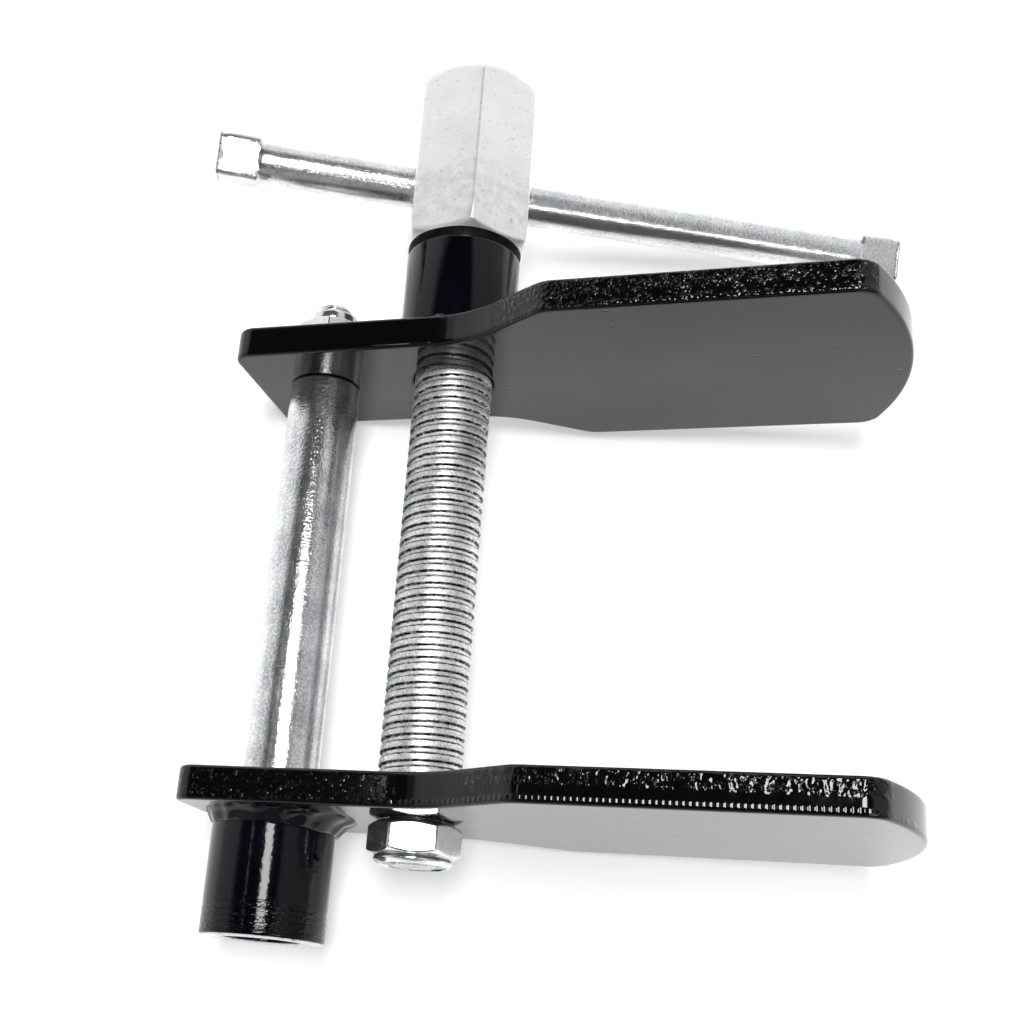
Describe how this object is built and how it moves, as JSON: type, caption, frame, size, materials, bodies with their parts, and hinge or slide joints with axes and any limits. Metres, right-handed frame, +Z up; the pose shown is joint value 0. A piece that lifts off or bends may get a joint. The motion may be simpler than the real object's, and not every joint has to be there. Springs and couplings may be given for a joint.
{
  "type": "disc brake calliper spreader",
  "caption": "Screw spreader with a fixed and a sliding jaw plate, a threaded spindle with a hexagon head, a sliding tommy bar and a guide rod; turning the spindle moves the sliding jaw.",
  "frame": {"origin": "middle of the bounding box of the tool as it lies, on the surface it lies on", "axes": "+Y along the spindle from the moving jaw towards the hexagon head, +Z up from the surface the tool lies on, +X roughly along the jaws from the guide rod towards their tips; the jaws lean about 12.8 degrees about +Y, tips up, because the tool rests on the jaws' back corners and on one end of the tommy bar"},
  "size_m": [0.1834, 0.2264, 0.0865],
  "materials": {
    "black_paint": "gloss black paint over rolled and sheared steel, orange-peel texture on the edges",
    "zinc_plate": "bright zinc plate, slightly mottled",
    "nylon": "pale nylon locking ring"
  },
  "bodies": {
    "fixed_jaw": {"fixed_jaw_plate": "black_paint", "threaded_collar": "black_paint", "collar_weld": "black_paint", "guide_rod": "zinc_plate", "guide_rod_washer": "zinc_plate", "guide_rod_nut": "zinc_plate", "guide_rod_nut_insert": "nylon"},
    "moving_jaw": {"moving_jaw_plate": "black_paint", "guide_boss": "black_paint", "boss_weld": "black_paint"},
    "spindle": {"spindle": "zinc_plate", "hex_head": "zinc_plate", "spindle_nut": "zinc_plate", "spindle_nut_insert": "nylon"},
    "tommy_bar": {"tommy_bar": "zinc_plate"}
  },
  "joints": [
    {"name": "jaw_slide", "type": "slide", "parent": "fixed_jaw", "child": "moving_jaw", "axis": [0, 1, 0], "range_m": [-0.0018, 0.102]},
    {"name": "spindle_turn", "type": "hinge", "parent": "moving_jaw", "child": "spindle", "pos_m": [-0.02509, 0.02615, 0.03126], "axis": [0, 1, 0], "range_deg": [-215, 12235]},
    {"name": "bar_slide", "type": "slide", "parent": "spindle", "child": "tommy_bar", "axis": [0.9761, 0, -0.2173], "range_m": [-0.0915, 0.04]}
  ],
  "couplings": [
    {"joint": "jaw_slide", "follows": "spindle_turn", "m_per_rad": 0.00047746}
  ]
}
